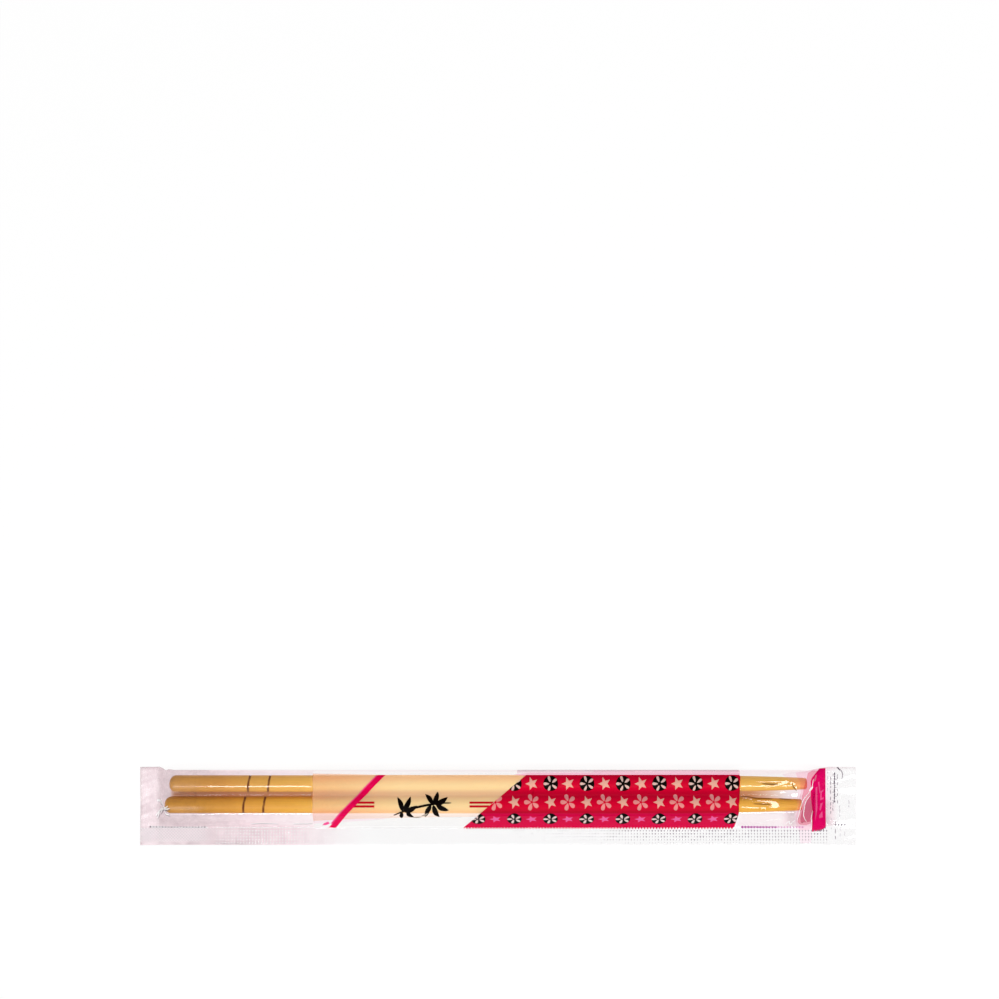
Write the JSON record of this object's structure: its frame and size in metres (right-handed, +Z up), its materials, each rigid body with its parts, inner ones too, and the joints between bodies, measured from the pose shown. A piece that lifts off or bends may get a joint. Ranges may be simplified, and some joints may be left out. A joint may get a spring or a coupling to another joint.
{
  "type": "wrapped disposable chopsticks",
  "caption": "Round bamboo chopsticks side by side in a clear printed film packet that is folded lengthwise and crimp-sealed along one edge and across each end.",
  "frame": {"origin": "on the surface that the packet lies on, under the middle of its outline", "axes": "+X from the sticks' heads to their tips, +Y from the long seal to the folded edge, +Z up through the printed front"},
  "size_m": [0.226, 0.0246, 0.0056],
  "materials": {
    "bamboo": "smooth sanded bamboo with scorched rings",
    "film": "glossy clear film, printed on its front"
  },
  "bodies": {
    "root": {"chopstick_front": "bamboo", "chopstick_rear": "bamboo", "film_sleeve": "film"}
  },
  "joints": []
}
